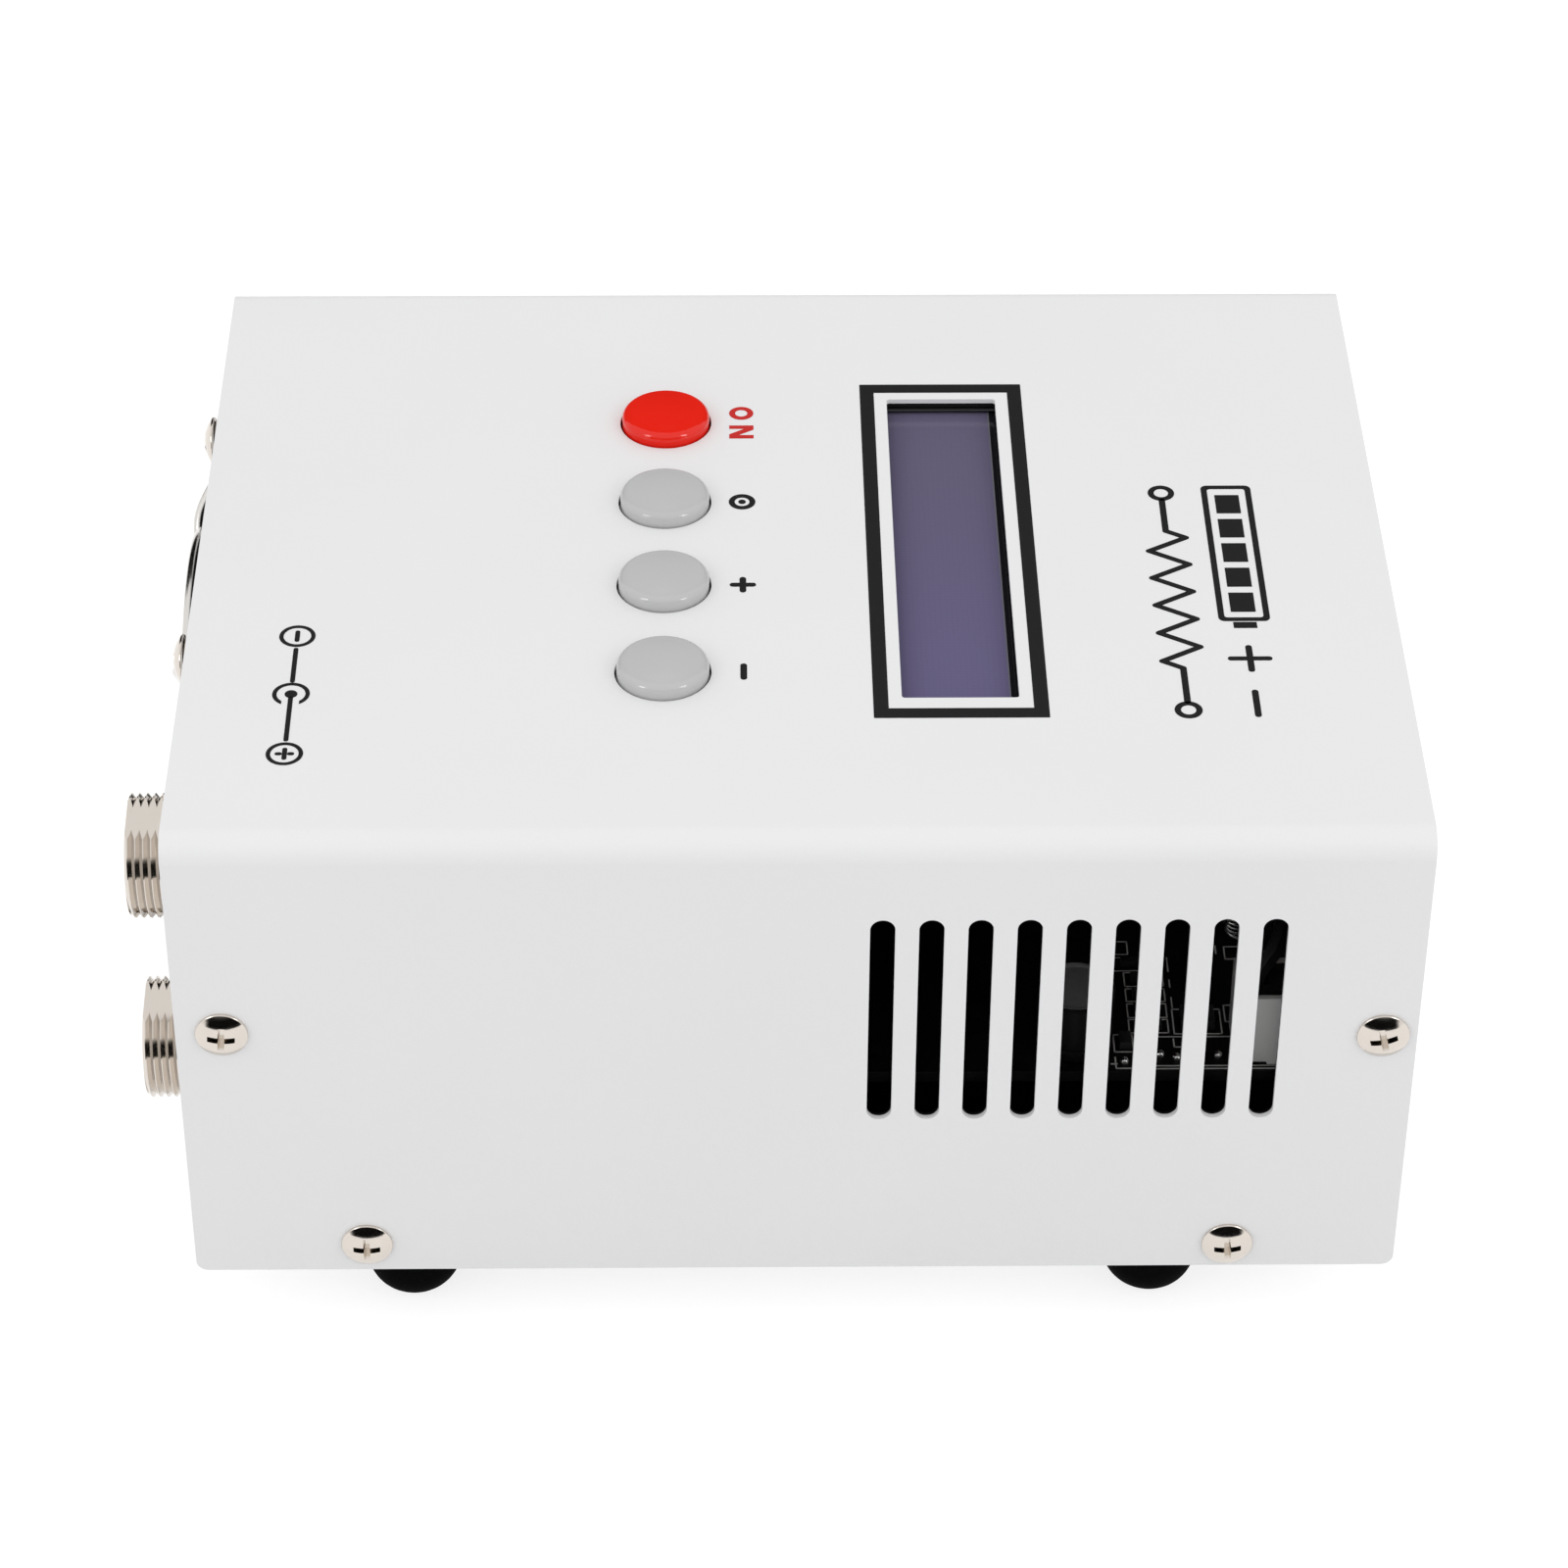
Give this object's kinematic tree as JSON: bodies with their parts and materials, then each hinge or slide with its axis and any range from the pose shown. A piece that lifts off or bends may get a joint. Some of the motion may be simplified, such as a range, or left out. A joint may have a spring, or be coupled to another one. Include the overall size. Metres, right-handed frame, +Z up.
{
  "type": "battery capacity tester",
  "caption": "Bench battery capacity tester in a folded, vented sheet-metal case on rubber feet, with a character display, push keys, a guarded cooling fan and round sockets.",
  "frame": {"origin": "on the bench, under the middle of the whole object", "axes": "+Z up; the end panel with the fan and the sockets faces -Y; the wall seen in the picture faces +X"},
  "size_m": [0.1286, 0.1608, 0.0808],
  "materials": {
    "white_powder_coat": "fine-textured pale grey-white powder coat",
    "nickel": "bright nickel plate",
    "black_rubber": "matt black rubber",
    "black_moulding": "black glass-filled moulding",
    "chrome_wire": "bright plated wire",
    "red_key": "glossy red moulding",
    "grey_key": "semi-gloss grey moulding",
    "display_glass": "unlit liquid-crystal panel under glass, seen as opaque purple-grey",
    "display_frame": "black-painted steel bezel",
    "backlight": "white diffuser",
    "black_board": "black solder mask",
    "zinc_screw": "zinc-plated steel",
    "switch_body": "black moulding",
    "plunger": "black moulding",
    "black_anodised": "black anodised extrusion",
    "transistor": "black epoxy",
    "capacitor": "black sleeve",
    "white_nylon": "white nylon",
    "black_lead": "black insulation",
    "red_lead": "red insulation"
  },
  "bodies": {
    "case": {"cover": "white_powder_coat", "chassis": "white_powder_coat", "cover_screw_right_front_upper": "nickel", "cover_screw_right_front_lower": "nickel", "cover_screw_right_rear_upper": "nickel", "cover_screw_right_rear_lower": "nickel", "cover_screw_left_front_upper": "nickel", "cover_screw_left_front_lower": "nickel", "cover_screw_left_rear_upper": "nickel", "cover_screw_left_rear_lower": "nickel", "foot_front_right": "black_rubber", "foot_rear_right": "black_rubber", "foot_front_left": "black_rubber", "foot_rear_left": "black_rubber", "fan_frame": "black_moulding", "fan_guard": "chrome_wire", "fan_screw_1": "nickel", "fan_screw_2": "nickel", "fan_screw_3": "nickel", "fan_screw_4": "nickel", "battery_socket_shell": "nickel", "battery_socket_nut": "nickel", "battery_socket_insert": "black_moulding", "supply_socket_shell": "nickel", "supply_socket_nut": "nickel", "supply_socket_insert": "black_moulding", "display_frame": "display_frame", "display_glass": "display_glass", "display_backlight": "backlight", "control_board": "black_board", "control_board_screw_1": "zinc_screw", "control_board_screw_2": "zinc_screw", "control_board_screw_3": "zinc_screw", "control_board_screw_4": "zinc_screw", "switch_on": "switch_body", "switch_set": "switch_body", "switch_up": "switch_body", "switch_down": "switch_body", "main_board": "black_board", "main_board_screw_1": "zinc_screw", "main_board_screw_2": "zinc_screw", "main_board_screw_3": "zinc_screw", "main_board_screw_4": "zinc_screw", "heat_sink": "black_anodised", "power_transistor_1": "transistor", "power_transistor_2": "transistor", "capacitor": "capacitor", "terminal_block": "white_nylon", "battery_lead_black": "black_lead", "battery_lead_red": "red_lead"},
    "fan_wheel": {"fan_rotor": "black_moulding"},
    "on_key": {"key_on": "red_key", "plunger_on": "plunger"},
    "set_key": {"key_set": "grey_key", "plunger_set": "plunger"},
    "up_key": {"key_up": "grey_key", "plunger_up": "plunger"},
    "down_key": {"key_down": "grey_key", "plunger_down": "plunger"}
  },
  "joints": [
    {"name": "fan_spin", "type": "hinge", "parent": "case", "child": "fan_wheel", "pos_m": [-0.009, -0.0606, 0.0467], "axis": [0, 1, 0], "continuous": true},
    {"name": "on_press", "type": "slide", "parent": "case", "child": "on_key", "axis": [0, 0, -1], "range_m": [0, 0.0004], "stiffness_N_per_m": 600, "springref_m": -0.0002},
    {"name": "set_press", "type": "slide", "parent": "case", "child": "set_key", "axis": [0, 0, -1], "range_m": [0, 0.0004], "stiffness_N_per_m": 600, "springref_m": -0.0002},
    {"name": "up_press", "type": "slide", "parent": "case", "child": "up_key", "axis": [0, 0, -1], "range_m": [0, 0.0004], "stiffness_N_per_m": 600, "springref_m": -0.0002},
    {"name": "down_press", "type": "slide", "parent": "case", "child": "down_key", "axis": [0, 0, -1], "range_m": [0, 0.0004], "stiffness_N_per_m": 600, "springref_m": -0.0002}
  ]
}
